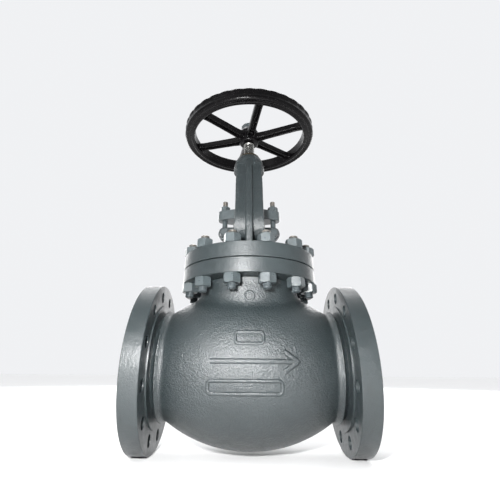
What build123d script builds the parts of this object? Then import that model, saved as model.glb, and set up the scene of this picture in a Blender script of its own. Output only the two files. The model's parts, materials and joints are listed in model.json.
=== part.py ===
"""Globe valve, NPS 6 Class 300: bolted bonnet, outside screw and yoke, rising stem and handwheel.

Frame: +X is the flow direction (outlet flange), +Z is up along the stem, and the origin is on the
ground plane under the stem, so the pipe axis is at half the flange diameter. Millimetres.
The valve is shown closed: the disc rests on the seat ring.
"""
import os
from math import cos, radians, sin, sqrt

from build123d import *

# ---------------------------------------------------------------- driving dimensions
# End flanges, ASME B16.5 Class 300, NPS 6, and face to face, ASME B16.10
face_to_face = 444.5
flange_od = 317.5
flange_thickness = 36.6
raised_face_od = 216.0
raised_face_height = 1.6
bolt_circle = 269.9
# Both are 22.2 on the real valve; they differ here so that the two coaxial patterns can be measured apart
inlet_bolt_hole = 22.0
outlet_bolt_hole = 22.4
first_hole_angle = 15.0  # both bolt circles straddle the centrelines
bolt_count = 12
port_bore = 152.4

# Body
bulb_radius = 150.0
bulb_end_x = 162.0
bulb_end_radius = 101.5
flange_neck_x = 173.5
flange_neck_radius = 110.0
relief_x = 182.6
relief_radius = 98.0
relief_step_radius = 118.0
bulb_wall = 17.0
partition_reach = 100.0  # distance of the partition's upright walls from the stem
partition_chamfer = 6.0
neck_radius = 106.5
neck_root_fillet = 28.0
flange_chamfer = 1.0
neck_bore_radius = 88.0

# Bonnet joint
bonnet_od = 296.6
body_flange_bottom = 160.3
bonnet_joint = 190.4
bonnet_flange_top = 223.0
bonnet_bolt_circle = 267.0
bonnet_bolt_count = 12
stud_diameter = 19.05
stud_hole = 20.6
stud_top = 250.5
stud_bottom = 131.0
stud_chamfer = 2.2
nut_across_flats = 31.75
nut_height = 18.7
joint_gap = 1.6
joint_land_radius = 108.0
# How far each nut is turned when tight, in degrees, in the order of the studs
lower_nut_turns = [-12, -26, -7, -21, -15, -24, -10, -22, -20, -18, -4, -13]
upper_nut_turns = [-25, -8, -19, -28, -11, -17, -6, -23, -16, -9, -20, -14]
gasket_inner = 93.0
gasket_outer = 103.0
gasket_thickness = 3.2

# Seat and disc
web_top = 0.0
web_thickness = 16.0
seat_bore_radius = 72.0
seat_thread_radius = 79.0
seat_collar_radius = 86.0
seat_height = 8.0
disc_radius = 83.0
disc_thickness = 22.0
disc_boss_radius = 37.0
disc_boss_top = 66.0
disc_pocket_radius = 28.0

# Stem
stem_diameter = 28.6
running_clearance = 0.05
stem_head_radius = 21.0
stem_head_height = 10.0
backseat_cone_radius = 19.0
backseat_bottom = 200.0
backseat_gap = 0.4
stem_lift = 44.0
stem_shoulder = 553.0
stem_top_radius = 12.0
stem_top = 620.0

# Bonnet interior, stuffing box and gland
bonnet_spigot_bottom = 172.0
bonnet_hollow_radius = 60.0
bonnet_hollow_top = 214.0
box_radius = 40.0
box_top = 312.0
box_bottom = 236.0
packing_bore_radius = 24.0
packing_ring_height = 9.2
packing_ring_count = 6
packing_washer_thickness = 4.0
gland_flange_bottom = 323.0
gland_flange_thickness = 25.0
gland_lobe_reach = 76.0
eyebolt_x = 59.5
eyebolt_diameter = 12.7
eyebolt_top = 377.0
eye_height = 289.0
eye_outer_radius = 15.0
eye_thickness = 16.0
eye_pin_radius = 5.5
lug_radius = 13.0
lug_root_x = 30.0
lug_ear_thickness = 10.0
lug_gap = 1.0
pin_head_radius = 9.0
pin_head_height = 4.0
pin_end_reach = 8.0
cotter_radius = 1.4
cotter_length = 21.0
gland_nut_across_flats = 22.225
gland_nut_height = 12.3
gland_nut_turns = {-1: -18, 1: -9}

# Yoke
arm_width = 64.0
rib_width = 14.0
rib_proud = 13.0
arm_thickness = 14.0
head_radius = 40.0
head_lip_radius = 28.0
head_bottom = 462.0
head_top = 504.0
bushing_radius = 24.0
bushing_collar_radius = 27.0
set_screw_height = 470.0
set_screw_radius = 4.0
bushing_top = 510.0

# Handwheel
wheel_radius = 175.0
rim_width = 27.0
rim_bottom = 562.0
rim_top = 597.0
rim_wall = 6.5
wheel_hub_radius = 27.0
wheel_hub_bottom = stem_shoulder
wheel_hub_top = 594.0
spoke_count = 6
spoke_first_angle = 40.0
spoke_width = 20.0
spoke_rib_width = 7.0
# Spoke plate and rib heights at the hub and at the rim
spoke_hub_x = 20.0
spoke_top_at_hub = 581.0
spoke_top_at_rim = 588.0
spoke_plate = 9.0
spoke_rib_at_hub = 560.0
spoke_rib_at_rim = 569.0
wheel_washer_thickness = 4.0
wheel_nut_across_flats = 36.0
wheel_nut_height = 16.0
wheel_nut_turn = 12.0
key_width = 8.0
key_depth = 4.0

# ---------------------------------------------------------------- derived
axis_height = flange_od / 2  # the pipe axis above the ground plane
half_length = face_to_face / 2
flange_front = half_length - raised_face_height
flange_back = half_length - flange_thickness
stem_radius = stem_diameter / 2
web_bottom = web_top - web_thickness
seat_face = web_top + seat_height
upright_inside = partition_reach - web_thickness / 2
upright_outside = partition_reach + web_thickness / 2
disc_top = seat_face + disc_thickness
stud_radius = stud_diameter / 2
bonnet_radius = bonnet_od / 2
eyebolt_radius = eyebolt_diameter / 2
gland_flange_top = gland_flange_bottom + gland_flange_thickness
ear_face = eye_thickness / 2 + lug_ear_thickness  # distance of a lug's outer face from the stem's plane
cotter_y = ear_face + pin_end_reach / 2
packing_bottom = box_bottom + packing_washer_thickness
packing_top = packing_bottom + packing_ring_height * packing_ring_count


def level(z):
    """Horizontal plane at height z above the pipe axis."""
    return Plane.XY.offset(axis_height + z)


def long_section():
    """Plane through the stem and the pipe: local x is along +X, local y is the height over the pipe axis."""
    return Plane((0, 0, axis_height), x_dir=(1, 0, 0), z_dir=(0, -1, 0))


def arm_section():
    """Plane through both yoke arms: local x is along +Y, local y is the height over the pipe axis."""
    return Plane((0, 0, axis_height), x_dir=(0, 1, 0), z_dir=(1, 0, 0))


def set_screw_plane():
    """Plane on the back of the yoke bushing, facing back, where its set screw bears."""
    return Plane((0, bushing_radius, axis_height + set_screw_height), x_dir=(1, 0, 0), z_dir=(0, 1, 0))


def pipe_axis():
    return Axis((0, 0, axis_height), (1, 0, 0))


def finish_piece(piece, name):
    """Label a finished piece and write its STEP file."""
    piece.label = name
    export_step(piece, f"parts/{name}.step")


def turned(points):
    """A ring or stepped plug turned about the stem axis, from (radius, height) corners."""
    with BuildPart() as piece:
        with BuildSketch(long_section()):
            with BuildLine():
                Polyline(*points, close=True)
            make_face()
        revolve(axis=Axis.Z)
    return piece.part


def ring(inner, outer, bottom, top):
    """A plain ring about the stem axis."""
    return turned([(inner, bottom), (outer, bottom), (outer, top), (inner, top)])


def hex_nuts(across_flats, hole_radius, bottom, top, centres, turns):
    """Hexagon nuts with chamfered corners, all of one size, each tightened to its own turn."""
    corner = across_flats / sqrt(3)
    with BuildPart() as nuts:
        with BuildSketch(level(bottom)):
            for centre, turn in zip(centres, turns):
                with Locations(centre):
                    RegularPolygon(corner, 6, rotation=turn)
            with Locations(*centres):
                Circle(hole_radius, mode=Mode.SUBTRACT)
        extrude(amount=top - bottom)
    with BuildPart() as envelope:
        with BuildSketch(level(bottom)):
            with Locations(*centres):
                Circle(corner)
        extrude(amount=top - bottom)
        chamfer(envelope.edges().filter_by(GeomType.CIRCLE), (corner - across_flats / 2) * 0.9)
    with BuildPart() as trimmed:
        add(nuts.part)
        add(envelope.part, mode=Mode.INTERSECT)
    return trimmed.part


os.makedirs("parts", exist_ok=True)

# ---------------------------------------------------------------- body
# Half of the outer outline of the run, as (distance along the pipe, radius)
with BuildPart() as run_outside:
    with BuildSketch(long_section()):
        with BuildLine():
            Line((0, 0), (0, bulb_radius))
            bulb_arc = TangentArc((0, bulb_radius), (bulb_end_x, bulb_end_radius), tangent=(1, 0))
            Polyline(
                bulb_arc @ 1,
                (flange_neck_x - 4, bulb_end_radius + 3),
                (flange_neck_x, flange_neck_radius),
                (flange_neck_x + 2, relief_radius),
                (relief_x, relief_radius),
                (relief_x, relief_step_radius),
                (flange_back, relief_step_radius),
                (flange_back, flange_od / 2),
                (flange_front, flange_od / 2),
                (flange_front, raised_face_od / 2),
                (half_length, raised_face_od / 2),
                (half_length, 0),
                (0, 0),
            )
        make_face()
        mirror(about=Plane.YZ)
    revolve(axis=pipe_axis())

# The flow passage: the same barrel shape inside the wall, closed across by the partition
with BuildPart() as passage:
    with BuildSketch(long_section()):
        with BuildLine():
            Line((0, 0), (0, bulb_radius - bulb_wall))
            wall_arc = TangentArc(
                (0, bulb_radius - bulb_wall), (bulb_end_x - 6, port_bore / 2), tangent=(1, 0)
            )
            Polyline(wall_arc @ 1, (half_length, port_bore / 2), (half_length, 0), (0, 0))
        make_face()
        mirror(about=Plane.YZ)
    revolve(axis=pipe_axis())
    # Partition between inlet (below the seat) and outlet (above it)
    with BuildSketch(long_section()):
        with BuildLine():
            Polyline(
                (-upright_outside, bulb_radius),
                (-upright_outside, web_bottom + partition_chamfer),
                (-upright_outside + partition_chamfer, web_bottom),
                (upright_inside, web_bottom),
                (upright_inside, -bulb_radius),
                (upright_outside, -bulb_radius),
                (upright_outside, web_top - partition_chamfer),
                (upright_outside - partition_chamfer, web_top),
                (-upright_inside, web_top),
                (-upright_inside, bulb_radius),
                close=True,
            )
        make_face()
    extrude(amount=bulb_radius, both=True, mode=Mode.SUBTRACT)

with BuildPart() as body:
    add(run_outside.part)
    with BuildSketch(level(0)):
        Circle(neck_radius)
    extrude(amount=body_flange_bottom + 1)
    neck_root = [
        e
        for e in body.edges().filter_by(GeomType.BSPLINE)
        if axis_height + 60 < e.center().Z < axis_height + 150
    ]
    fillet(neck_root, neck_root_fillet)
    with BuildSketch(level(body_flange_bottom)):
        Circle(bonnet_radius)
    extrude(amount=bonnet_joint - body_flange_bottom)
    outer_edges = body.edges().filter_by(GeomType.CIRCLE)
    flange_rims = [
        e for e in outer_edges if abs(e.radius - flange_od / 2) < 0.1 or abs(e.radius - bonnet_radius) < 0.1
    ]
    chamfer(flange_rims, flange_chamfer)
    add(passage.part, mode=Mode.SUBTRACT)
    with BuildSketch(level(web_top)):
        Circle(neck_bore_radius)
    extrude(amount=bonnet_joint - web_top, mode=Mode.SUBTRACT)
    with BuildSketch(level(web_bottom)):
        Circle(seat_thread_radius)
    extrude(amount=web_thickness, mode=Mode.SUBTRACT)
    # Gasket recess in the joint face
    with BuildSketch(level(bonnet_joint - gasket_thickness)):
        Circle(gasket_outer)
        Circle(gasket_inner, mode=Mode.SUBTRACT)
    extrude(amount=gasket_thickness, mode=Mode.SUBTRACT)
    with BuildSketch(level(body_flange_bottom - 5)):
        with PolarLocations(bonnet_bolt_circle / 2, bonnet_bolt_count, start_angle=first_hole_angle):
            Circle(stud_hole / 2)
    extrude(amount=bonnet_joint - body_flange_bottom + 5, mode=Mode.SUBTRACT)
    # Line bolt holes, straddling the vertical centreline
    with BuildSketch(Plane((-half_length, 0, axis_height), x_dir=(0, 1, 0), z_dir=(1, 0, 0))):
        with PolarLocations(bolt_circle / 2, bolt_count, start_angle=first_hole_angle):
            Circle(inlet_bolt_hole / 2)
    extrude(amount=flange_thickness + 4, mode=Mode.SUBTRACT)
    with BuildSketch(Plane((half_length, 0, axis_height), x_dir=(0, 1, 0), z_dir=(1, 0, 0))):
        with PolarLocations(bolt_circle / 2, bolt_count, start_angle=first_hole_angle):
            Circle(outlet_bolt_hole / 2)
    extrude(amount=-(flange_thickness + 4), mode=Mode.SUBTRACT)
finish_piece(body.part, "body")

# ---------------------------------------------------------------- seat, disc and their small parts
seat_ring = turned(
    [
        (seat_bore_radius, web_bottom),
        (seat_thread_radius, web_bottom),
        (seat_thread_radius, web_top),
        (seat_collar_radius, web_top),
        (seat_collar_radius, seat_face - 2),
        (seat_collar_radius - 3, seat_face),
        (seat_bore_radius + 3, seat_face),
        (seat_bore_radius, seat_face - 3),
    ]
)
finish_piece(seat_ring, "seat_ring")

disc = turned(
    [
        (0, seat_face - 5),
        (seat_bore_radius - 4, seat_face - 5),
        (seat_bore_radius - 1, seat_face),
        (disc_radius - 1, seat_face),
        (disc_radius, seat_face + 3),
        (disc_radius, disc_top - 6),
        (disc_radius - 6, disc_top),
        (disc_boss_radius + 6, disc_top),
        (disc_boss_radius, disc_top + 6),
        (disc_boss_radius, disc_boss_top),
        (disc_pocket_radius, disc_boss_top),
        (disc_pocket_radius, disc_top - 2),
        (0, disc_top - 2),
    ]
)
with BuildPart() as drilled_disc:
    add(disc)
    with BuildSketch(Plane((0, 0, axis_height + disc_boss_top - 8), x_dir=(0, 1, 0), z_dir=(1, 0, 0))):
        Circle(3)
    extrude(amount=disc_boss_radius + 1, mode=Mode.SUBTRACT)
finish_piece(drilled_disc.part, "disc")

washer_top = disc_top + 2.0
head_top_z = washer_top + stem_head_height
finish_piece(ring(6, stem_head_radius, disc_top - 2, washer_top), "disc_thrust_washer")

disc_nut = turned(
    [
        (stem_radius + running_clearance, head_top_z + 0.2),
        (disc_pocket_radius, head_top_z + 0.2),
        (disc_pocket_radius, disc_boss_top),
        (disc_boss_radius - 1, disc_boss_top),
        (disc_boss_radius - 1, disc_boss_top + 9),
        (disc_boss_radius - 4, disc_boss_top + 12),
        (stem_radius + running_clearance, disc_boss_top + 12),
    ]
)
finish_piece(disc_nut, "disc_nut")

with BuildPart() as lock_screw:
    with BuildSketch(
        Plane((disc_pocket_radius, 0, axis_height + disc_boss_top - 8), x_dir=(0, 1, 0), z_dir=(1, 0, 0))
    ):
        Circle(3)
    extrude(amount=disc_boss_radius - disc_pocket_radius - 1)
finish_piece(lock_screw.part, "disc_nut_lock_screw")

# ---------------------------------------------------------------- stem
cone_bottom = backseat_bottom - stem_lift - backseat_gap
stem_outline = [
    (0, washer_top),
    (stem_head_radius, washer_top),
    (stem_head_radius, head_top_z - 1),
    (stem_head_radius - 1, head_top_z),
    (stem_radius, head_top_z),
    (stem_radius, cone_bottom - 14),
    (backseat_cone_radius, cone_bottom - 10),
    (backseat_cone_radius, cone_bottom),
    (stem_radius, cone_bottom + 5),
    (stem_radius, stem_shoulder),
    (stem_top_radius, stem_shoulder),
    (stem_top_radius, stem_top - 2),
    (stem_top_radius - 2, stem_top),
    (0, stem_top),
]
key_bottom = wheel_hub_bottom + 4
key_top = wheel_hub_top
with BuildPart() as stem:
    add(turned(stem_outline))
    with BuildSketch(level(key_bottom)):
        with Locations((stem_top_radius, 0)):
            Rectangle(key_depth * 2, key_width)
    extrude(amount=key_top - key_bottom, mode=Mode.SUBTRACT)
finish_piece(stem.part, "stem")

# ---------------------------------------------------------------- bonnet joint parts
finish_piece(ring(gasket_inner, gasket_outer, bonnet_joint - gasket_thickness, bonnet_joint), "bonnet_gasket")

stud_centres = [
    (
        bonnet_bolt_circle / 2 * cos(radians(first_hole_angle + 360 / bonnet_bolt_count * k)),
        bonnet_bolt_circle / 2 * sin(radians(first_hole_angle + 360 / bonnet_bolt_count * k)),
    )
    for k in range(bonnet_bolt_count)
]
with BuildPart() as studs:
    with BuildSketch(level(stud_bottom)):
        with Locations(*stud_centres):
            Circle(stud_radius)
    extrude(amount=stud_top - stud_bottom)
    chamfer(studs.edges().filter_by(GeomType.CIRCLE), stud_chamfer)
finish_piece(studs.part, "bonnet_studs")

upper_nuts = hex_nuts(
    nut_across_flats,
    stud_radius,
    bonnet_flange_top,
    bonnet_flange_top + nut_height,
    stud_centres,
    upper_nut_turns,
)
finish_piece(upper_nuts, "bonnet_nuts_upper")
lower_nuts = hex_nuts(
    nut_across_flats,
    stud_radius,
    body_flange_bottom - nut_height,
    body_flange_bottom,
    stud_centres,
    lower_nut_turns,
)
finish_piece(lower_nuts, "bonnet_nuts_lower")

# ---------------------------------------------------------------- bonnet with its yoke
bonnet_outline = [
    (0, bonnet_spigot_bottom),
    (neck_bore_radius - 0.3, bonnet_spigot_bottom),
    (neck_bore_radius - 0.3, bonnet_joint),
    (joint_land_radius, bonnet_joint),
    (joint_land_radius, bonnet_joint + joint_gap),
    (bonnet_radius - flange_chamfer, bonnet_joint + joint_gap),
    (bonnet_radius, bonnet_joint + joint_gap + flange_chamfer),
    (bonnet_radius, bonnet_flange_top - flange_chamfer),
    (bonnet_radius - flange_chamfer, bonnet_flange_top),
    (100, bonnet_flange_top),
    (96, bonnet_flange_top + 3),
    (76, bonnet_flange_top + 12),
    (56, bonnet_flange_top + 24),
    (46, bonnet_flange_top + 38),
    (box_radius, bonnet_flange_top + 54),
    (box_radius, box_top),
    (0, box_top),
]
# One arm's outer line, from the head down to where it curls into the bonnet, as (distance from stem, height)
arm_outer = [(head_radius - 3, 476), (46, 446), (60, 408), (83, 352), (99, 310), (103, 288)]
arm_foot = [(99, 268), (84, 252), (64, 246)]
arm_inner = [
    (50, 262),
    (66, 264),
    (82, 270),
    (103 - arm_thickness, 284),
    (99 - arm_thickness, 302),
    (83 - arm_thickness, 346),
    (60 - arm_thickness, 404),
    (32, 440),
    (18, head_bottom),
]
# Half of the arms' outline seen from the front, as (half width, height)
arm_front = [(arm_width / 2, 430), (arm_width / 2, 350), (arm_width / 2, 300), (arm_width / 2 + 3, 240)]
rib_outer = [
    (head_radius + 1, 480),
    (46 + rib_proud, 442),
    (60 + rib_proud, 404),
    (83 + rib_proud, 346),
    (99 + rib_proud, 300),
    (103 + rib_proud, 276),
]
rib_inner = [(103 + rib_proud, bonnet_flange_top), (60, bonnet_flange_top), (60, 255), (96, 275), (92, 300)]
rib_inner += [(76, 346), (54, 404), (40, 440), (20, 480)]

with BuildPart() as arms:
    with BuildSketch(arm_section()):
        with BuildLine():
            outer_line = Spline(*arm_outer, *arm_foot, tangents=[(0.1, -1), (-1, -0.1)])
            Polyline(outer_line @ 1, (50, 240), arm_inner[0])
            inner_line = Spline(*arm_inner)
            Polyline(inner_line @ 1, (0, head_bottom), (0, 476), outer_line @ 0)
        make_face()
        mirror(about=Plane.YZ)
    extrude(amount=arm_width, both=True)
    with BuildSketch(long_section()):
        with BuildLine():
            side_line = Spline(*arm_front)
            Polyline(side_line @ 1, (0, 240), (0, 480), (arm_width / 2, 480), side_line @ 0)
        make_face()
        mirror(about=Plane.YZ)
    extrude(amount=wheel_radius, both=True, mode=Mode.INTERSECT)

with BuildPart() as bonnet:
    add(turned(bonnet_outline))
    add(arms.part)
    # Stiffening rib down the middle of each arm, straight to the bonnet flange
    with BuildSketch(arm_section()):
        with BuildLine():
            rib_line = Spline(*rib_outer, tangents=[(0.3, -1), (0, -1)])
            Polyline(rib_line @ 1, *rib_inner, rib_line @ 0)
        make_face()
        mirror(about=Plane.YZ)
    extrude(amount=rib_width / 2, both=True)
    # Head that carries the yoke bushing
    add(
        turned(
            [
                (0, head_bottom),
                (head_radius, head_bottom),
                (head_radius, head_bottom + 14),
                (head_radius - 4, head_top - 12),
                (head_lip_radius + 3, head_top - 2),
                (head_lip_radius, head_top),
                (0, head_top),
            ]
        )
    )
    # Lugs for the gland eyebolts, a pair of ears each side
    for side in (1, -1):
        with BuildSketch(long_section()):
            with Locations((side * eyebolt_x, eye_height)):
                Circle(lug_radius)
            with BuildLine():
                Polyline(
                    (side * lug_root_x, eye_height - 2 * lug_radius),
                    (side * (eyebolt_x + 2), eye_height - lug_radius),
                    (side * (eyebolt_x + 2), eye_height + lug_radius),
                    (side * lug_root_x, eye_height + lug_radius),
                    close=True,
                )
            make_face()
        extrude(amount=ear_face, both=True)
        with BuildSketch(long_section()):
            with Locations((side * (box_radius + 26), eye_height)):
                Rectangle(48, 80)
        extrude(amount=(eye_thickness + lug_gap) / 2, both=True, mode=Mode.SUBTRACT)
        with BuildSketch(long_section()):
            with Locations((side * eyebolt_x, eye_height)):
                Circle(eye_pin_radius)
        extrude(amount=2 * ear_face, both=True, mode=Mode.SUBTRACT)
    # Hollow above the disc, stem passage, packing chamber and bushing seat
    add(
        turned(
            [
                (0, bonnet_spigot_bottom),
                (bonnet_hollow_radius, bonnet_spigot_bottom),
                (bonnet_hollow_radius, 200),
                (46, bonnet_hollow_top),
                (0, bonnet_hollow_top),
            ]
        ),
        mode=Mode.SUBTRACT,
    )
    add(
        turned(
            [
                (0, bonnet_hollow_top - 1),
                (22, bonnet_hollow_top - 1),
                (22, bonnet_hollow_top + 14),
                (stem_radius + 1.2, bonnet_hollow_top + 14),
                (stem_radius + 1.2, box_bottom),
                (packing_bore_radius, box_bottom),
                (packing_bore_radius, box_top),
                (0, box_top),
            ]
        ),
        mode=Mode.SUBTRACT,
    )
    add(
        turned(
            [
                (0, head_bottom - 25),
                (bushing_radius, head_bottom - 25),
                (bushing_radius, head_top),
                (0, head_top),
            ]
        ),
        mode=Mode.SUBTRACT,
    )
    with BuildSketch(level(bonnet_joint)):
        with PolarLocations(bonnet_bolt_circle / 2, bonnet_bolt_count, start_angle=first_hole_angle):
            Circle(stud_hole / 2)
    extrude(amount=bonnet_flange_top - bonnet_joint, mode=Mode.SUBTRACT)
    # Set screw hole in the back of the head
    with BuildSketch(set_screw_plane()):
        Circle(set_screw_radius)
    extrude(amount=head_radius, mode=Mode.SUBTRACT)
finish_piece(bonnet.part, "bonnet_yoke")

# ---------------------------------------------------------------- backseat, packing and gland
backseat_bushing = turned(
    [
        (stem_radius + running_clearance, backseat_bottom + 5),
        (backseat_cone_radius + running_clearance, backseat_bottom),
        (30, backseat_bottom),
        (30, bonnet_hollow_top),
        (22, bonnet_hollow_top),
        (22, bonnet_hollow_top + 14),
        (stem_radius + running_clearance, bonnet_hollow_top + 14),
    ]
)
finish_piece(backseat_bushing, "backseat_bushing")
finish_piece(ring(stem_radius + 0.6, packing_bore_radius, box_bottom, packing_bottom), "packing_washer")

with BuildPart() as packing:
    for number in range(packing_ring_count):
        bottom = packing_bottom + packing_ring_height * number
        add(
            ring(
                stem_radius + running_clearance,
                packing_bore_radius,
                bottom + 0.1,
                bottom + packing_ring_height,
            )
        )
finish_piece(packing.part, "packing_rings")

gland_follower = turned(
    [
        (stem_radius + 0.6, packing_top),
        (packing_bore_radius - 0.3, packing_top),
        (packing_bore_radius - 0.3, gland_flange_bottom - 7),
        (31, gland_flange_bottom - 7),
        (31, gland_flange_bottom),
        (stem_radius + 0.6, gland_flange_bottom),
    ]
)
finish_piece(gland_follower, "gland_follower")

lobe_radius = gland_lobe_reach - eyebolt_x
with BuildPart() as gland_flange:
    with BuildSketch(level(gland_flange_bottom)):
        Circle(33)
        with Locations((-eyebolt_x, 0), (eyebolt_x, 0)):
            Circle(lobe_radius)
        make_hull()
    extrude(amount=gland_flange_thickness)
    fillet(gland_flange.edges().filter_by(Plane.XY), 2.5)
    with BuildSketch(level(gland_flange_bottom)):
        Circle(stem_radius + 2)
        with Locations((-eyebolt_x, 0), (eyebolt_x, 0)):
            Circle(eyebolt_radius + 0.8)
    extrude(amount=gland_flange_thickness, mode=Mode.SUBTRACT)
finish_piece(gland_flange.part, "gland_flange")

for side, name in ((-1, "left"), (1, "right")):
    eye_plane = Plane((side * eyebolt_x, 0, axis_height + eye_height), x_dir=(1, 0, 0), z_dir=(0, -1, 0))
    with BuildPart() as eyebolt:
        with BuildSketch(eye_plane):
            Circle(eye_outer_radius)
        extrude(amount=eye_thickness / 2, both=True)
        fillet(eyebolt.edges().filter_by(GeomType.CIRCLE), 2.5)
        with BuildSketch(level(eye_height + 8)):
            with Locations((side * eyebolt_x, 0)):
                Circle(eyebolt_radius)
        extrude(amount=eyebolt_top - eye_height - 8)
        chamfer(eyebolt.faces().sort_by(Axis.Z)[-1].edges(), 1.3)
        with BuildSketch(eye_plane):
            Circle(eye_pin_radius)
        extrude(amount=eye_thickness, both=True, mode=Mode.SUBTRACT)
    finish_piece(eyebolt.part, f"gland_eyebolt_{name}")

    with BuildPart() as pin:
        with BuildSketch(eye_plane):
            Circle(eye_pin_radius)
        extrude(amount=ear_face)
        with BuildSketch(eye_plane.offset(ear_face)):
            Circle(pin_head_radius)
        extrude(amount=pin_head_height)
        chamfer(pin.faces().sort_by(Axis.Y)[0].edges(), 1)
        with BuildSketch(eye_plane):
            Circle(eye_pin_radius)
        extrude(amount=-(ear_face + pin_end_reach))
        with BuildSketch(level(eye_height)):
            with Locations((side * eyebolt_x, cotter_y)):
                Circle(cotter_radius + 0.1)
        extrude(amount=cotter_length / 2, both=True, mode=Mode.SUBTRACT)
    finish_piece(pin.part, f"eyebolt_pin_{name}")

    gland_nut = hex_nuts(
        gland_nut_across_flats,
        eyebolt_radius + running_clearance,
        gland_flange_top,
        gland_flange_top + gland_nut_height,
        [(side * eyebolt_x, 0)],
        [gland_nut_turns[side]],
    )
    finish_piece(gland_nut, f"gland_nut_{name}")

# Split pins through the ends of the two eyebolt pins
with BuildPart() as cotters:
    for side in (-1, 1):
        with BuildSketch(level(eye_height - cotter_length / 2)):
            with Locations((side * eyebolt_x, cotter_y)):
                Circle(cotter_radius)
        extrude(amount=cotter_length)
finish_piece(cotters.part, "eyebolt_pin_cotters")

# ---------------------------------------------------------------- yoke bushing and its set screw
yoke_bushing = turned(
    [
        (stem_radius + running_clearance, head_bottom - 4),
        (bushing_radius - 2, head_bottom - 4),
        (bushing_radius, head_bottom - 2),
        (bushing_radius, head_top),
        (bushing_collar_radius, head_top),
        (bushing_collar_radius, bushing_top - 1.5),
        (bushing_collar_radius - 1.5, bushing_top),
        (stem_radius + running_clearance, bushing_top),
    ]
)
finish_piece(yoke_bushing, "yoke_bushing")

with BuildPart() as set_screw:
    with BuildSketch(set_screw_plane()):
        Circle(set_screw_radius)
    extrude(amount=head_radius - bushing_radius + 1)
finish_piece(set_screw.part, "bushing_set_screw")

# ---------------------------------------------------------------- handwheel and its fastening
rim_inner = wheel_radius - rim_width
spoke_end = rim_inner + 2
with BuildPart() as handwheel:
    add(
        turned(
            [
                (rim_inner, rim_bottom + 3),
                (rim_inner + 3, rim_bottom),
                (rim_inner + rim_wall, rim_bottom),
                (rim_inner + rim_wall, rim_top - 9),
                (wheel_radius - rim_wall, rim_top - 9),
                (wheel_radius - rim_wall, rim_bottom),
                (wheel_radius - 3, rim_bottom),
                (wheel_radius, rim_bottom + 4),
                (wheel_radius, rim_top - 8),
                (wheel_radius - 7, rim_top),
                (rim_inner + 7, rim_top),
                (rim_inner, rim_top - 8),
            ]
        )
    )
    add(ring(stem_top_radius, wheel_hub_radius, wheel_hub_bottom, wheel_hub_top))
    for number in range(spoke_count):
        turn = radians(spoke_first_angle + 360 / spoke_count * number)
        spoke_plane = Plane(
            (0, 0, axis_height), x_dir=(cos(turn), sin(turn), 0), z_dir=(sin(turn), -cos(turn), 0)
        )
        with BuildSketch(spoke_plane):
            Polygon(
                (spoke_hub_x, spoke_top_at_hub - spoke_plate),
                (spoke_end, spoke_top_at_rim - spoke_plate),
                (spoke_end, spoke_top_at_rim),
                (spoke_hub_x, spoke_top_at_hub),
                align=None,
            )
        extrude(amount=spoke_width / 2, both=True)
        with BuildSketch(spoke_plane):
            Polygon(
                (spoke_hub_x, spoke_rib_at_hub),
                (spoke_end, spoke_rib_at_rim),
                (spoke_end, spoke_top_at_rim - spoke_plate + 1),
                (spoke_hub_x, spoke_top_at_hub - spoke_plate + 1),
                align=None,
            )
        extrude(amount=spoke_rib_width / 2, both=True)
    with BuildSketch(level(wheel_hub_bottom)):
        Circle(stem_top_radius)
        with Locations((stem_top_radius, 0)):
            Rectangle(7, key_width)
    extrude(amount=wheel_hub_top - wheel_hub_bottom, mode=Mode.SUBTRACT)
finish_piece(handwheel.part, "handwheel")

with BuildPart() as key:
    with BuildSketch(level(key_bottom)):
        with Locations((stem_top_radius - key_depth, 0)):
            Rectangle(key_depth + 3.3, key_width - 0.02, align=(Align.MIN, Align.CENTER))
    extrude(amount=key_top - key_bottom)
finish_piece(key.part, "handwheel_key")

washer_level = wheel_hub_top + wheel_washer_thickness
finish_piece(ring(stem_top_radius + 0.3, 23, wheel_hub_top, washer_level), "handwheel_washer")
wheel_nut = hex_nuts(
    wheel_nut_across_flats,
    stem_top_radius,
    washer_level,
    washer_level + wheel_nut_height,
    [(0, 0)],
    [wheel_nut_turn],
)
finish_piece(wheel_nut, "handwheel_nut")
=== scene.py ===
"""Globe valve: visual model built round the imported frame, in metres, +Z up."""
import json
from math import cos, pi, radians, sin, tau

import bmesh
import bpy
from mathutils import Matrix, Vector, noise


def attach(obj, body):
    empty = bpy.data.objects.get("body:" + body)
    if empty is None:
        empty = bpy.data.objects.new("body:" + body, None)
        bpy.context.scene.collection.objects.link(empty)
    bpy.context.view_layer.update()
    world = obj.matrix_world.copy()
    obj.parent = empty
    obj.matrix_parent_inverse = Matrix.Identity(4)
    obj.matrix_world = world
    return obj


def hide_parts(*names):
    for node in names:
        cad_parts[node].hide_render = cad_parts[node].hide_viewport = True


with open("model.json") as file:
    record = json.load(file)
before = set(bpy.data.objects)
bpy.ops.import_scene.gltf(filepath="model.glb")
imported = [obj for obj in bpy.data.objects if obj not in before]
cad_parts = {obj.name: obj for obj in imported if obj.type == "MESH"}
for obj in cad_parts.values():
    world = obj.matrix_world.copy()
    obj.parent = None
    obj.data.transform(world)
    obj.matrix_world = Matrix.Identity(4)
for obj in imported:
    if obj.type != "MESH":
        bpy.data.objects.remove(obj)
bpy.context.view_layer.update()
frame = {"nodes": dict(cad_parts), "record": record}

nodes = frame["nodes"]
AXIS_HEIGHT = 0.15875  # pipe axis above the floor
MM = 0.001

# Outer surface of the body, metres
BARREL_RADIUS = 0.150
BARREL_ARC = 0.2948  # radius of the arc that the barrel's outline follows
NECK_RADIUS = 0.1065
NECK_BORE_LIMIT = 0.098  # skin nearer the stem than this is the neck's bore
FLANGE_BACK = 0.1821  # the sharp end flanges start this far from the stem
TURNED_START = 0.1825  # beyond this distance from the stem the finish is turned, not cast
FACE_TO_STEM = 0.22225

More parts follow.
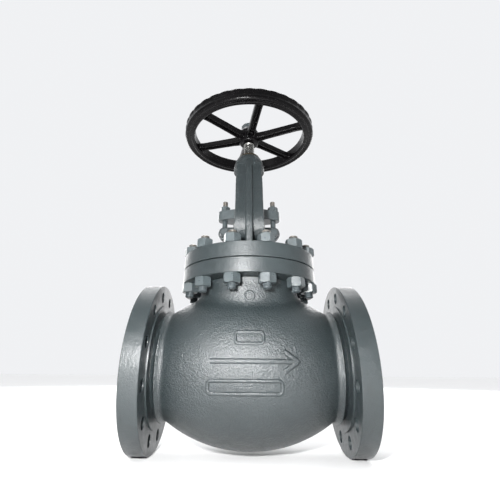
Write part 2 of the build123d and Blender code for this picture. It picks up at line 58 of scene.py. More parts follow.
# Heights over the pipe axis, radii and pitches in millimetres, angles in degrees
JOINT_FLANGE_BACK = 160.1
NECK_FILLET_START = 150
BONNET_FLANGE_TOP = 223.0
STEM_RADIUS = 14.3
THREAD_LEAD = 6.35
STUD_COUNT = 12
FIRST_STUD_ANGLE = 15
STUD_CIRCLE_RADIUS = 133.5
STUD_RADIUS = 9.4
STUD_PITCH = 2.54
GLAND_BOLT_X = 59.5
GLAND_BOLT_RADIUS = 6.3
GLAND_BOLT_PITCH = 1.954
HUB_BORE_RADIUS = 12.05
GRIP_COUNT = 36
SPOKE_COUNT = 6
FIRST_SPOKE_ANGLE = 40


def row(z):
    """Height in metres over the floor of a height in millimetres over the pipe axis."""
    return AXIS_HEIGHT + z * MM


# ------------------------------------------------------------------ camera, light, floor
def make_camera():
    """Camera at the height of the pipe, looking up 25 degrees at the wheel."""
    pitch, yaw, roll = 0.43623, 0.01201, -0.00748
    place = (-0.0048, -0.8091, AXIS_HEIGHT - 0.0115)
    ahead = Vector((-sin(yaw), cos(yaw), 0))
    right = Vector((cos(yaw), sin(yaw), 0))
    forward = ahead * cos(pitch) + Vector((0, 0, sin(pitch)))
    up = -ahead * sin(pitch) + Vector((0, 0, cos(pitch)))
    side = right * cos(roll) - up * sin(roll)
    top = right * sin(roll) + up * cos(roll)
    data = bpy.data.cameras.new("camera")
    data.sensor_width = 36
    data.lens = 25.396
    data.shift_x = 0.0135
    data.shift_y = -0.0872
    cam = bpy.data.objects.new("camera", data)
    bpy.context.scene.collection.objects.link(cam)
    turn = Matrix((side, top, -forward)).transposed()
    cam.matrix_world = Matrix.Translation(place) @ turn.to_4x4()
    bpy.context.scene.camera = cam


def area_light(name, place, target, size, watts):
    """A white disc light of a given size in metres, aimed at a place."""
    data = bpy.data.lights.new(name, "AREA")
    data.shape = "DISK"
    data.size = size
    data.energy = watts
    lamp = bpy.data.objects.new(name, data)
    bpy.context.scene.collection.objects.link(lamp)
    place, target = Vector(place), Vector(target)
    lamp.location = place
    lamp.rotation_mode = "QUATERNION"
    lamp.rotation_quaternion = (target - place).to_track_quat("-Z", "Y")


def make_studio():
    """Pale surroundings, brighter behind the valve; a small flash in front; soft lights all round."""
    bpy.context.scene.view_settings.view_transform = "Standard"
    world = bpy.data.worlds.new("studio")
    world.use_nodes = True
    tree = world.node_tree
    direction = tree.nodes.new("ShaderNodeTexCoord").outputs["Generated"]
    split = tree.nodes.new("ShaderNodeSeparateXYZ")
    tree.links.new(direction, split.inputs[0])
    blend = tree.nodes.new("ShaderNodeMapRange")
    blend.interpolation_type = "SMOOTHSTEP"
    front, back, dim, bright = -0.1, 0.42, 0.42, 0.90
    for key, number in (("From Min", front), ("From Max", back), ("To Min", dim), ("To Max", bright)):
        blend.inputs[key].default_value = number
    tree.links.new(split.outputs["Y"], blend.inputs["Value"])
    tree.links.new(blend.outputs["Result"], tree.nodes["Background"].inputs["Strength"])
    tree.nodes["Background"].inputs["Color"].default_value = (0.97, 0.98, 1.0, 1)
    bpy.context.scene.world = world
    middle = (0, 0, 0.3)
    area_light("flash", (-0.13, -0.84, 0.28), (0, 0, 0.27), size=0.07, watts=19)
    area_light("key", (-1.8, -1.6, 2.0), middle, size=1.4, watts=5)
    area_light("fill", (2.0, -1.4, 1.2), middle, size=1.5, watts=2)
    area_light("rear", (1.5, 2.8, 1.3), middle, size=1.8, watts=38)
    area_light("rear_fill", (-1.5, 2.8, 1.3), middle, size=1.8, watts=38)
    data = bpy.data.lights.new("overhead", "SUN")
    data.energy = 1.15
    data.angle = 0.6
    sun = bpy.data.objects.new("overhead", data)
    sun.rotation_euler = (-0.55, 0, 0)
    bpy.context.scene.collection.objects.link(sun)

    bm = bmesh.new()
    bmesh.ops.create_grid(bm, x_segments=1, y_segments=1, size=12)
    mesh = bpy.data.meshes.new("floor")
    bm.to_mesh(mesh)
    bm.free()
    floor = bpy.data.objects.new("floor", mesh)
    bpy.context.scene.collection.objects.link(floor)
    paper = Mat("floor_paper")
    tone = paper.noise(3, 2)
    colour = paper.ramp(tone, [(0.2, (0.90, 0.90, 0.90)), (0.8, (0.94, 0.94, 0.94))])
    paper.put(paper.bsdf, "Base Color", colour)
    paper.put(paper.bsdf, "Roughness", 0.9)
    floor.data.materials.append(paper.mat)


# ------------------------------------------------------------------ materials
def new_material(name):
    """A material with its output node and its Principled shader."""
    mat = bpy.data.materials.new(name)
    mat.use_nodes = True
    tree = mat.node_tree
    return mat, tree.nodes["Material Output"], tree.nodes["Principled BSDF"]


class Mat:
    """Small helper that adds and links shader nodes."""

    def __init__(self, name):
        self.mat, self.out, self.bsdf = new_material(name)
        self.tree = self.mat.node_tree
        self.coord = self.tree.nodes.new("ShaderNodeTexCoord").outputs["Object"]

    def add(self, kind, **sockets):
        node = self.tree.nodes.new(kind)
        for key, value in sockets.items():
            self.put(node, key.replace("_", " "), value)
        return node

    def put(self, node, key, value):
        if hasattr(value, "is_output"):
            self.tree.links.new(value, node.inputs[key])
        else:
            node.inputs[key].default_value = value

    def noise(self, scale, detail=3.0, rough=0.5, vector=None):
        node = self.add("ShaderNodeTexNoise", Scale=scale, Detail=detail, Roughness=rough)
        self.tree.links.new(vector or self.coord, node.inputs["Vector"])
        return node.outputs["Fac"]

    def ramp(self, value, stops):
        node = self.tree.nodes.new("ShaderNodeValToRGB")
        while len(node.color_ramp.elements) < len(stops):
            node.color_ramp.elements.new(0.5)
        for element, (place, colour) in zip(node.color_ramp.elements, stops):
            element.position = place
            element.color = colour if len(colour) == 4 else (*colour, 1)
        self.tree.links.new(value, node.inputs["Fac"])
        return node.outputs["Color"]

    def remap(self, value, low, high, a=0.0, b=1.0):
        node = self.tree.nodes.new("ShaderNodeMapRange")
        self.tree.links.new(value, node.inputs["Value"])
        for key, number in (("From Min", a), ("From Max", b), ("To Min", low), ("To Max", high)):
            node.inputs[key].default_value = number
        node.clamp = True
        return node.outputs["Result"]

    def math(self, kind, a, b=None):
        node = self.tree.nodes.new("ShaderNodeMath")
        node.operation = kind
        for slot_number, value in enumerate((a, b)):
            if value is None:
                continue
            if hasattr(value, "is_output"):
                self.tree.links.new(value, node.inputs[slot_number])
            else:
                node.inputs[slot_number].default_value = value
        return node.outputs[0]

    def mix(self, fac, a, b):
        node = self.tree.nodes.new("ShaderNodeMix")
        node.data_type = "RGBA"
        for index, value in ((0, fac), (6, a), (7, b)):
            if hasattr(value, "is_output"):
                self.tree.links.new(value, node.inputs[index])
            else:
                node.inputs[index].default_value = value
        return node.outputs[2]

    def bump(self, height, distance, strength=1.0, after=None):
        node = self.add("ShaderNodeBump", Strength=strength, Distance=distance)
        self.tree.links.new(height, node.inputs["Height"])
        if after is not None:
            self.tree.links.new(after, node.inputs["Normal"])
        return node.outputs["Normal"]


def cast_paint():
    """Satin grey paint, tinted a little blue, over a grainy sand-cast steel skin."""
    m = Mat("cast_paint")
    tone = m.noise(9, 5, 0.6)
    grime = m.noise(38, 6, 0.65)
    colour = m.ramp(tone, [(0.30, (0.013, 0.0185, 0.020)), (0.70, (0.020, 0.027, 0.029))])
    colour = m.mix(m.remap(grime, 0, 0.55, 0.55, 0.8), colour, (0.010, 0.0125, 0.013, 1))
    m.put(m.bsdf, "Base Color", colour)
    m.put(m.bsdf, "Roughness", m.remap(m.noise(70, 4), 0.33, 0.46, 0.3, 0.7))
    # turned faces of the flanges are smoother than the sand-cast skin
    split = m.add("ShaderNodeSeparateXYZ")
    m.tree.links.new(m.coord, split.inputs[0])
    end_flange = m.math("GREATER_THAN", m.math("ABSOLUTE", split.outputs["X"]), TURNED_START)
    above = m.math("GREATER_THAN", split.outputs["Z"], row(JOINT_FLANGE_BACK + 0.4))
    below = m.math("LESS_THAN", split.outputs["Z"], row(BONNET_FLANGE_TOP - 0.5))
    turned = m.math("MAXIMUM", end_flange, m.math("MULTIPLY", above, below))
    swell = m.bump(m.noise(60, 3, 0.5), 0.0025, m.remap(turned, 0.35, 0.12))
    grain = m.bump(m.noise(300, 4, 0.62), 0.0017, m.remap(turned, 0.9, 0.28), swell)
    m.put(m.bsdf, "Normal", m.bump(m.noise(900, 2, 0.5), 0.0003, 0.5, grain))
    m.bsdf.inputs["Specular IOR Level"].default_value = 0.75
    return m.mat


def bolt_paint():
    """The same paint over machined nuts, with darker dirt."""
    m = Mat("bolt_paint")
    tone = m.noise(60, 4, 0.6)
    colour = m.ramp(tone, [(0.3, (0.036, 0.046, 0.049)), (0.72, (0.054, 0.066, 0.070))])
    dirt = m.remap(m.noise(150, 5), 0, 0.6, 0.58, 0.8)
    m.put(m.bsdf, "Base Color", m.mix(dirt, colour, (0.016, 0.019, 0.020, 1)))
    m.put(m.bsdf, "Roughness", m.remap(m.noise(140, 3), 0.26, 0.40, 0.3, 0.7))
    m.put(m.bsdf, "Normal", m.bump(m.noise(420, 3), 0.0006, 0.6))
    m.bsdf.inputs["Specular IOR Level"].default_value = 0.8
    return m.mat


def stud_paint():
    """Painted thread, rubbed through to brownish steel on the upper tips."""
    m = Mat("stud_steel")
    paint = m.ramp(m.noise(90, 5, 0.6), [(0.35, (0.030, 0.038, 0.041)), (0.65, (0.048, 0.058, 0.062))])
    rust = m.ramp(m.noise(260, 4, 0.6), [(0.35, (0.10, 0.085, 0.070)), (0.65, (0.22, 0.20, 0.175))])
    split = m.add("ShaderNodeSeparateXYZ")
    m.tree.links.new(m.coord, split.inputs[0])
    height = split.outputs["Z"]
    stud_wear_start, stud_wear_full, over_studs = row(241.5), row(249), row(256)
    eyebolt_wear_start, eyebolt_wear_full = row(358), row(370)
    worn_stud = m.remap(height, 0, 1, stud_wear_start, stud_wear_full)
    worn_eyebolt = m.remap(height, 0, 1, eyebolt_wear_start, eyebolt_wear_full)
    above_studs = m.math("GREATER_THAN", height, over_studs)
    wear = m.math("MULTIPLY", worn_stud, m.math("SUBTRACT", 1.0, above_studs))
    wear = m.math("MAXIMUM", wear, worn_eyebolt)
    wear = m.math("MULTIPLY", wear, m.remap(m.noise(170, 4), 0.35, 1.0, 0.3, 0.6))
    m.put(m.bsdf, "Base Color", m.mix(wear, paint, rust))
    m.put(m.bsdf, "Roughness", m.remap(m.noise(120, 3), 0.32, 0.48, 0.3, 0.7))
    m.put(m.bsdf, "Metallic", m.math("MULTIPLY", wear, 0.6))
    m.put(m.bsdf, "Normal", m.bump(m.noise(500, 2), 0.0003, 0.4))
    return m.mat


def bare_steel(name, colour, rough_low, rough_high):
    """Bare metal with an uneven tone and a fine, even grain."""
    m = Mat(name)
    tone = m.noise(40, 4, 0.6)
    dark = tuple(c * 0.8 for c in colour)
    m.put(m.bsdf, "Base Color", m.ramp(tone, [(0.3, dark), (0.7, colour)]))
    m.put(m.bsdf, "Roughness", m.remap(m.noise(120, 3), rough_low, rough_high, 0.3, 0.7))
    m.put(m.bsdf, "Metallic", 1.0)
    m.put(m.bsdf, "Normal", m.bump(m.noise(900, 2), 0.0001, 0.3))
    return m.mat


def graphite():
    """Dull dark packing."""
    m = Mat("graphite")
    tone = m.noise(300, 4)
    m.put(m.bsdf, "Base Color", m.ramp(tone, [(0.3, (0.03, 0.03, 0.033)), (0.7, (0.07, 0.07, 0.075))]))
    m.put(m.bsdf, "Roughness", m.remap(m.noise(200, 2), 0.4, 0.6))
    return m.mat


def wheel_enamel():
    """Gloss black enamel with slight flow marks and dust."""
    m = Mat("wheel_enamel")
    tone = m.noise(25, 4, 0.6)
    colour = m.ramp(tone, [(0.3, (0.0015, 0.0014, 0.0016)), (0.7, (0.0036, 0.0032, 0.0036))])
    dust = m.remap(m.noise(120, 5, 0.6), 0, 0.22, 0.60, 0.8)
    m.put(m.bsdf, "Base Color", m.mix(dust, colour, (0.02, 0.018, 0.017, 1)))
    m.put(m.bsdf, "Roughness", m.remap(m.noise(45, 4), 0.16, 0.32, 0.3, 0.7))
    m.put(m.bsdf, "Normal", m.bump(m.noise(110, 3, 0.5), 0.0012, 0.45))
    m.bsdf.inputs["Specular IOR Level"].default_value = 0.11
    return m.mat


MATERIALS = {
    "painted_casting": cast_paint(),
    "painted_bolting": bolt_paint(),
    "stud_steel": stud_paint(),
    "stem_steel": bare_steel("stem_steel", (0.30, 0.30, 0.29), 0.20, 0.36),
    "trim_steel": bare_steel("trim_steel", (0.50, 0.50, 0.51), 0.22, 0.36),
    "bushing_bronze": bare_steel("bushing_bronze", (0.17, 0.145, 0.105), 0.32, 0.5),
    "graphite": graphite(),
    "gasket": bare_steel("gasket_steel", (0.35, 0.35, 0.36), 0.35, 0.5),
    "wheel_black": wheel_enamel(),
}


def paint_frame():
    """Gives every CAD node the procedural finish of its slot."""
    for part in frame["record"]["subparts"]:
        mesh = nodes[part["node"]].data
        mesh.materials.clear()
        mesh.materials.append(MATERIALS[part["material_slot"]])


# ------------------------------------------------------------------ mesh helpers
def add_piece(name, bm, body, slot_name, stands_for=(), sharp_angle=35):
    """Turns a bmesh into a piece that rides on a body."""
    bm.normal_update()
    for face in bm.faces:
        face.smooth = True
    limit = radians(sharp_angle)
    for edge in bm.edges:
        edge.smooth = len(edge.link_faces) != 2 or edge.calc_face_angle(0) < limit
    mesh = bpy.data.meshes.new(name)
    bm.to_mesh(mesh)
    bm.free()
    obj = bpy.data.objects.new(name, mesh)
    bpy.context.scene.collection.objects.link(obj)
    mesh.materials.append(MATERIALS[slot_name])
    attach(obj, body)
    if stands_for:
        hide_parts(*stands_for)
    return obj


def cad_mesh(node):
    """A welded copy of a CAD node's mesh."""
    bm = bmesh.new()
    bm.from_mesh(nodes[node].data)
    bmesh.ops.remove_doubles(bm, verts=bm.verts, dist=2e-6)
    return bm


def keep_side(bm, point, normal):
    """Cuts a closed mesh by a plane, keeps the side the normal points to, and caps the cut."""
    cut = bmesh.ops.bisect_plane(
        bm, geom=bm.verts[:] + bm.edges[:] + bm.faces[:], plane_co=point, plane_no=normal, clear_inner=True
    )
    rim = [e for e in cut["geom_cut"] if isinstance(e, bmesh.types.BMEdge)]
    bmesh.ops.triangle_fill(bm, use_beauty=True, edges=rim, normal=Vector(normal))
    bmesh.ops.recalc_face_normals(bm, faces=bm.faces[:])
    return bm


def join(bm, *others):
    """Adds the other bmeshes' geometry to the first."""
    for other in others:
        scrap = bpy.data.meshes.new("scrap")
        other.to_mesh(scrap)
        other.free()
        bm.from_mesh(scrap)
        bpy.data.meshes.remove(scrap)
    return bm


def cast_skin(bm, voxel, smoothing, rough=0.00012):
    """Rounds a sharp solid into a casting: voxel remesh, smoothing, then a faint sand-mould unevenness."""
    mesh = bpy.data.meshes.new("cast")
    bm.to_mesh(mesh)
    bm.free()
    obj = bpy.data.objects.new("cast", mesh)
    bpy.context.scene.collection.objects.link(obj)
    remesh = obj.modifiers.new("remesh", "REMESH")
    remesh.mode = "VOXEL"
    remesh.voxel_size = voxel
    remesh.adaptivity = 0.0
    smooth = obj.modifiers.new("smooth", "SMOOTH")
    smooth.factor = 0.5
    smooth.iterations = smoothing
    evaluated = obj.evaluated_get(bpy.context.evaluated_depsgraph_get())
    out = bmesh.new()
    out.from_mesh(evaluated.to_mesh())
    evaluated.to_mesh_clear()
    bpy.data.objects.remove(obj)
    bpy.data.meshes.remove(mesh)
    out.normal_update()
    moves = [v.normal * rough * noise.fractal(v.co * 90, 0.6, 2.0, 3) for v in out.verts]
    for vert, move in zip(out.verts, moves):
        vert.co += move
    return out


def lathe(outline, steps, wave=None):
    """A closed outline of (radius, height, share), in metres, turned about the stem axis. The wave gives a
    change of radius for each angle, and the share says how much of it a point takes."""
    bm = bmesh.new()
    rings = []
    for i in range(steps):
        angle = tau * i / steps
        shift = wave(angle) if wave else 0
        rings.append(
            [
                bm.verts.new(((r + shift * share) * cos(angle), (r + shift * share) * sin(angle), z))
                for r, z, share in outline
            ]
        )
    count = len(outline)
    for i in range(steps):
        here, there = rings[i], rings[(i + 1) % steps]
        for j in range(count):
            bm.faces.new((here[j], there[j], there[(j + 1) % count], here[(j + 1) % count]))
    bmesh.ops.recalc_face_normals(bm, faces=bm.faces[:])
    return bm


# ------------------------------------------------------------------ body casting
def make_body():
    """Machined end flanges and joint flange kept sharp, with a cast skin between them."""
    joint = row(JOINT_FLANGE_BACK)
    flanges = cad_mesh("body")
    keep_side(flanges, (FLANGE_BACK, 0, 0), (1, 0, 0))
    other = keep_side(cad_mesh("body"), (-FLANGE_BACK, 0, 0), (-1, 0, 0))
    collar = keep_side(cad_mesh("body"), (0, 0, joint), (0, 0, 1))
    shell = cad_mesh("body")
    keep_side(shell, (FLANGE_BACK, 0, 0), (-1, 0, 0))
    keep_side(shell, (-FLANGE_BACK, 0, 0), (1, 0, 0))
    keep_side(shell, (0, 0, joint), (0, 0, -1))
    skin = cast_skin(shell, voxel=0.0026, smoothing=5)
    # fillet where the neck runs into the joint flange
    start, reach, swell = row(NECK_FILLET_START), 10 * MM, 6 * MM
    for vert in skin.verts:
        radius = (vert.co.x ** 2 + vert.co.y ** 2) ** 0.5
        if vert.co.z > start and radius > NECK_BORE_LIMIT:
            t = min(1.0, (vert.co.z - start) / reach)
            grow = 1 + swell * (1 - (1 - t * t) ** 0.5) / radius
            vert.co.x *= grow
            vert.co.y *= grow
    join(skin, flanges, other, collar)
    return add_piece("body_casting", skin, "valve_body", "painted_casting", ["body"], sharp_angle=32)


def make_bonnet():
    """The bonnet flange stays sharp; the hub, arms and head get a cast skin."""
    top = row(BONNET_FLANGE_TOP)
    flange = keep_side(cad_mesh("bonnet_yoke"), (0, 0, row(BONNET_FLANGE_TOP + 0.4)), (0, 0, -1))
    upper = keep_side(cad_mesh("bonnet_yoke"), (0, 0, row(BONNET_FLANGE_TOP - 7)), (0, 0, 1))
    skin = cast_skin(upper, voxel=0.0014, smoothing=3)
    # the flat flange face belongs to the sharp part, so the skin ends just under it
    trim_over, sink_under = 0.5 * MM, 1.2 * MM
    buried = [f for f in skin.faces if all(v.co.z < top + trim_over for v in f.verts)]
    bmesh.ops.delete(skin, geom=buried, context="FACES")
    rim = [e for e in skin.edges if e.is_boundary]
    lowered = bmesh.ops.extrude_edge_only(skin, edges=rim)["geom"]
    for vert in (v for v in lowered if isinstance(v, bmesh.types.BMVert)):
        vert.co.z = top - sink_under
    bmesh.ops.holes_fill(skin, edges=[e for e in skin.edges if e.is_boundary], sides=0)
    bmesh.ops.recalc_face_normals(skin, faces=skin.faces[:])
    casting = join(skin, flange)
    return add_piece(
        "bonnet_casting", casting, "valve_body", "painted_casting", ["bonnet_yoke"], sharp_angle=32
    )


# ------------------------------------------------------------------ threaded bars
def trapezoid(phase):
    """Depth share of a trapezoidal thread over one pitch: crest, flank, root, flank."""
    crest, flank = 0.32, 0.16
    if phase < crest:
        return 0.0
    if phase < crest + flank:
        return (phase - crest) / flank
    if phase < 1 - flank:
        return 1.0
    return (1.0 - phase) / flank


def vee(phase):
    """Depth share of a V thread over one pitch."""
    return 1 - abs(2 * phase - 1)


def threaded_bar(bm, centre, profile, threads, sides=40):
    """A turned bar as a closed solid. profile is (height, radius) pairs from the bottom, threads are
    (low, high, pitch, depth, form, rows a pitch). Millimetres over the pipe axis."""
    levels = list(profile)
    for low, high, pitch, depth, form, rows in threads:
        count = int(round((high - low) / pitch * rows))
        radius = next(r for z, r in profile if z >= high - 1e-6)
        levels += [(low + (high - low) * j / count, radius) for j in range(1, count)]
    # two radii at one height keep the profile's order
    keyed = [(z, order if (z, r) in profile else 0, (z, r)) for order, (z, r) in enumerate(levels)]
    levels = [level for _, _, level in sorted(keyed)]
    rings = []
    for z, radius in levels:
        ring = []
        for i in range(sides):
            cut = 0.0
            for low, high, pitch, depth, form, rows in threads:
                if low <= z <= high:
                    fade = max(0.0, min(1.0, (z - low) / pitch, (high - z) / pitch * 2))
                    cut = depth * form((z / pitch - i / sides) % 1.0) * fade
            r = (radius - cut) * MM
            angle = tau * i / sides
            x, y = centre[0] * MM + r * cos(angle), centre[1] * MM + r * sin(angle)
            ring.append(bm.verts.new((x, y, row(z))))
        rings.append(ring)
    for a, b in zip(rings, rings[1:]):
        for i in range(sides):
            k = (i + 1) % sides
            bm.faces.new((a[i], a[k], b[k], b[i]))
    bm.faces.new(rings[0][::-1])
    bm.faces.new(rings[-1])


def make_stem():
    """Stem with its head, backseat shoulder, lifting thread and end thread."""
    bm = bmesh.new()
    profile = [
        (32, 20), (33, 21), (41, 21), (42, 20), (42, STEM_RADIUS),  # head held in the disc
        (141.6, STEM_RADIUS), (145.6, 19), (155.6, 19), (160.6, STEM_RADIUS),  # backseat shoulder
        (392, STEM_RADIUS), (550, STEM_RADIUS),  # lifting thread
        (552, 13.4), (553, 12), (598, 12), (619, 12), (620, 10.5),  # wheel seat and end thread
    ]
    threads = [(392, 550, THREAD_LEAD, 2.5, trapezoid, 12), (598, 619, 3.0, 1.4, vee, 6)]
    threaded_bar(bm, (0, 0), profile, threads, sides=56)
    return add_piece("stem_turned", bm, "spindle", "stem_steel", ["stem"], sharp_angle=40)


def make_studs():
    """The bonnet studs in one piece, each threaded where it shows past its nuts."""
    bm = bmesh.new()
    full = STUD_RADIUS
    profile = [(131, 7.0), (133, full), (144, full), (239, full), (248.5, full), (250.5, 7.0)]
    threads = [(133, 144, STUD_PITCH, 1.3, vee, 6), (239, 248.5, STUD_PITCH, 1.3, vee, 6)]
    for k in range(STUD_COUNT):
        angle = radians(FIRST_STUD_ANGLE + 360 / STUD_COUNT * k)
        centre = (STUD_CIRCLE_RADIUS * cos(angle), STUD_CIRCLE_RADIUS * sin(angle))
        threaded_bar(bm, centre, profile, threads, sides=30)
    return add_piece("bonnet_stud_set", bm, "valve_body", "stud_steel", ["bonnet_studs"], sharp_angle=50)


def make_eyebolt(side, name):
    """Forged eye from the CAD solid, with a threaded shank above it."""
    eye = keep_side(cad_mesh(f"gland_eyebolt_{name}"), (0, 0, row(318)), (0, 0, -1))
    bar = bmesh.new()
    full = GLAND_BOLT_RADIUS
    profile = [(317.5, full), (318, full), (375.2, full), (377, 4.6)]
    threads = [(318, 375.2, GLAND_BOLT_PITCH, 1.0, vee, 6)]
    threaded_bar(bar, (side * GLAND_BOLT_X, 0), profile, threads, sides=28)
    bolt, original = join(eye, bar), [f"gland_eyebolt_{name}"]
    return add_piece(f"eyebolt_{name}", bolt, "valve_body", "stud_steel", original, sharp_angle=45)


# ------------------------------------------------------------------ handwheel
def arc(centre, radius, start, end, steps):
    """Points on an arc in (radius, height), angles in degrees."""
    return [
        (centre[0] + radius * cos(radians(start + (end - start) * i / steps)),
         centre[1] + radius * sin(radians(start + (end - start) * i / steps)))
        for i in range(steps + 1)
    ]


def wheel_rim():
    """Ribbed rim with finger grips round its upper outer edge."""
    outline = arc((166.2, 588.2), 8.8, 90, -35, 10)  # upper bead, where the hand grips
    outline += arc((166.4, 570.3), 8.2, 35, -95, 9)  # lower bead
    outline += [(161.0, 566.0)]
    outline += arc((153.8, 567.5), 5.5, -60, -175, 6)  # inner bead of the underside
    outline += [(147.6, 578.0)]
    outline += arc((154.8, 590.0), 7.0, 180, 90, 5)
    grip_start, grip_blend, grip_inside, grip_depth = 576, 6, 165, 1.3
    rim_outline = [
        (r * MM, row(z), max(0.0, min(1.0, (z - grip_start) / grip_blend)) * (r > grip_inside))
        for r, z in outline
    ]
    return lathe(
        rim_outline, steps=432, wave=lambda a: -grip_depth * MM * (0.5 - 0.5 * cos(GRIP_COUNT * a)) ** 2
    )


def wheel_hub():
    """Round hub with its edges eased, bored for the stem."""
    outline = [
        (HUB_BORE_RADIUS, 553), (22, 553), (25.5, 555.5), (27, 560),
        (27, 588), (25, 592.5), (22, 594), (HUB_BORE_RADIUS, 594),
    ]
    return lathe([(r * MM, row(z), 0) for r, z in outline], steps=96)


def spoke_section(t):
    """Outline of a spoke, open below, as (across, height) in millimetres. t runs from hub to rim."""
    hub_flare, rim_flare = 2.6 * max(0, 1 - t * 5), 3.0 * max(0, (t - 0.82) / 0.18) ** 2
    half = 9.6 + hub_flare + rim_flare
    top = 581 + 6.5 * t
    bottom = 563 + 8 * t
    side_line = [
        (half, top - 2), (half, bottom + 1.5), (half - 1.5, bottom), (half - 3.6, bottom),
        (half - 4.8, bottom + 1.5), (half - 5.4, top - 7),
    ]
    section = [(-half + 2, top), (half - 2, top)] + side_line
    return section + [(-u, w) for u, w in reversed(side_line)]


def add_spoke(bm, turn, steps=16, start=22, length=130):
    """One spoke at an angle, from inside the hub to inside the rim."""
    along, across = Vector((cos(turn), sin(turn), 0)), Vector((-sin(turn), cos(turn), 0))
    rings = []
    for i in range(steps + 1):
        t = i / steps
        rho = start + length * t
        rings.append(
            [
                bm.verts.new((along * rho + across * u) * MM + Vector((0, 0, row(w))))
                for u, w in spoke_section(t)
            ]
        )
    count = len(rings[0])
    for a, b in zip(rings, rings[1:]):
        for j in range(count):
            n = (j + 1) % count
            bm.faces.new((a[j], a[n], b[n], b[j]))
    bm.faces.new(rings[0])
    bm.faces.new(rings[-1][::-1])


def make_handwheel():
    """Six channel spokes between a ribbed, finger-gripped rim and a round hub, blended as one casting."""
    spokes = bmesh.new()
    for k in range(SPOKE_COUNT):
        add_spoke(spokes, radians(FIRST_SPOKE_ANGLE + 360 / SPOKE_COUNT * k))
    bmesh.ops.recalc_face_normals(spokes, faces=spokes.faces[:])
    casting = join(wheel_rim(), spokes, wheel_hub())
    skin = cast_skin(casting, voxel=0.0016, smoothing=3, rough=0.00008)
    return add_piece("handwheel_casting", skin, "spindle", "wheel_black", ["handwheel"], sharp_angle=60)


# ------------------------------------------------------------------ cast marks on the body
def barrel_front(x, z):
    """The front surface of the barrel (metres, relative to the valve centre) at a frontal place."""
    drop = BARREL_ARC - (BARREL_ARC ** 2 - x * x) ** 0.5
    radius = BARREL_RADIUS - drop
    y = -(radius * radius - z * z) ** 0.5
    radial = Vector((0, y, z)) / radius
    lean = x / BARREL_ARC
    normal = (radial * (1 - lean ** 2) ** 0.5 + Vector((lean, 0, 0))).normalized()
    return Vector((x, y, z)), normal


def neck_front(x, z):
    """The front surface of the neck."""
    point = Vector((x, -(NECK_RADIUS * NECK_RADIUS - x * x) ** 0.5, z))
    return point, Vector((point.x, point.y, 0)).normalized()


def bead(bm, path, width, height, surface, closed=False):
    """A raised half-round stroke along a frontal path, millimetres, laid on a surface and sunk a little."""
    points = [Vector((x * MM, z * MM)) for x, z in path]
    dense = []
    spacing = 2.5 * MM
    pairs = list(zip(points, points[1:])) + ([(points[-1], points[0])] if closed else [])
    for a, b in pairs:
        count = max(1, int((b - a).length / spacing))
        dense += [a.lerp(b, i / count) for i in range(count)]
    if not closed:
        dense.append(points[-1])
    rings = []
    total = len(dense)
    steps = 8
    sunk = 0.8 * MM
    for i, p in enumerate(dense):
        before = dense[i - 1] if closed or i > 0 else p
        after = dense[(i + 1) % total] if closed or i < total - 1 else p
        tangent = (after - before).normalized()
        sideways = Vector((-tangent.y, tangent.x))
        ring = []
        for j in range(steps + 1):
            a = pi * j / steps
            offset = p + sideways * (width / 2 * MM * cos(a))
            place, normal = surface(offset.x, offset.y)
            lift = height * MM * sin(a) ** 0.8 if 0 < j < steps else -sunk
            ring.append(bm.verts.new(place + normal * lift + Vector((0, 0, AXIS_HEIGHT))))
        rings.append(ring)
    links = list(zip(rings, rings[1:])) + ([(rings[-1], rings[0])] if closed else [])
    for a, b in links:
        for j in range(steps):
            bm.faces.new((a[j], a[j + 1], b[j + 1], b[j]))
        bm.faces.new((a[steps], a[0], b[0], b[steps]))
    if not closed:
        bm.faces.new(rings[0][::-1])
        bm.faces.new(rings[-1])


def rounded_box(cx, cz, w, h, r, steps=5):
    """A rounded rectangle's outline, millimetres."""
    out = []
    for sx, sz, start in ((1, 1, 0), (-1, 1, 90), (-1, -1, 180), (1, -1, 270)):
        for i in range(steps + 1):
            a = radians(start + 90 * i / steps)
            out.append((cx + sx * (w / 2 - r) + r * cos(a), cz + sz * (h / 2 - r) + r * sin(a)))
    return out


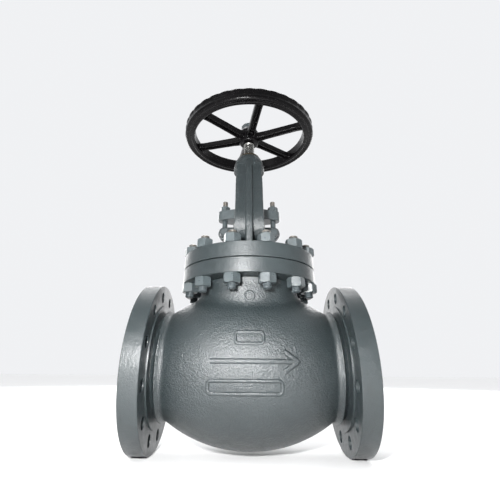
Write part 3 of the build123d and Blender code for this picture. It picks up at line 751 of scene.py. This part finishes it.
def make_marks():
    """Generic cast marks: a flow arrow, and plain framed pads where a maker would put its own marks."""
    bm = bmesh.new()
    bead(bm, [(-68, 3.5), (82, 3.5)], 9.0, 3.0, barrel_front)
    bead(bm, [(60, 20), (85, 3.5), (60, -13)], 9.0, 3.1, barrel_front)
    bead(bm, rounded_box(0, 42, 50, 20, 6), 6.0, 2.6, barrel_front, True)
    bead(bm, rounded_box(-8, -37, 128, 20, 6), 6.0, 2.6, barrel_front, True)
    ring = [(9 * cos(tau * i / 24), 122 + 9 * sin(tau * i / 24)) for i in range(24)]
    bead(bm, ring, 5.0, 2.2, neck_front, True)
    bmesh.ops.recalc_face_normals(bm, faces=bm.faces[:])
    return add_piece("cast_marks", bm, "valve_body", "painted_casting", sharp_angle=80)


def make_face_rings():
    """Turned rings on the raised faces at both ends of the run, laid just proud of the CAD faces."""
    inner, pitch, grooves, steps = 78.0, 2.9, 10, 144
    for side, name in ((-1, "inlet"), (1, "outlet")):
        outline = [(inner, -0.8)]
        for i in range(grooves):
            outline += [(inner + i * pitch, 0.05), (inner + (i + 0.5) * pitch, 0.40)]
        outline += [(inner + grooves * pitch, 0.05), (inner + grooves * pitch, -0.8)]
        bm = bmesh.new()
        rings = []
        for i in range(steps):
            across, up = cos(tau * i / steps), sin(tau * i / steps)
            rings.append(
                [
                    bm.verts.new(
                        (side * (FACE_TO_STEM + out * MM), r * MM * across, AXIS_HEIGHT + r * MM * up)
                    )
                    for r, out in outline
                ]
            )
        count = len(outline)
        for i in range(steps):
            here, there = rings[i], rings[(i + 1) % steps]
            for j in range(count):
                bm.faces.new((here[j], there[j], there[(j + 1) % count], here[(j + 1) % count]))
        bmesh.ops.recalc_face_normals(bm, faces=bm.faces[:])
        add_piece(f"{name}_face_grooves", bm, "valve_body", "trim_steel", sharp_angle=15)


make_body()
make_bonnet()
make_face_rings()
make_stem()
make_studs()
make_eyebolt(-1, "left")
make_eyebolt(1, "right")
make_handwheel()
make_marks()

paint_frame()
make_camera()
make_studio()
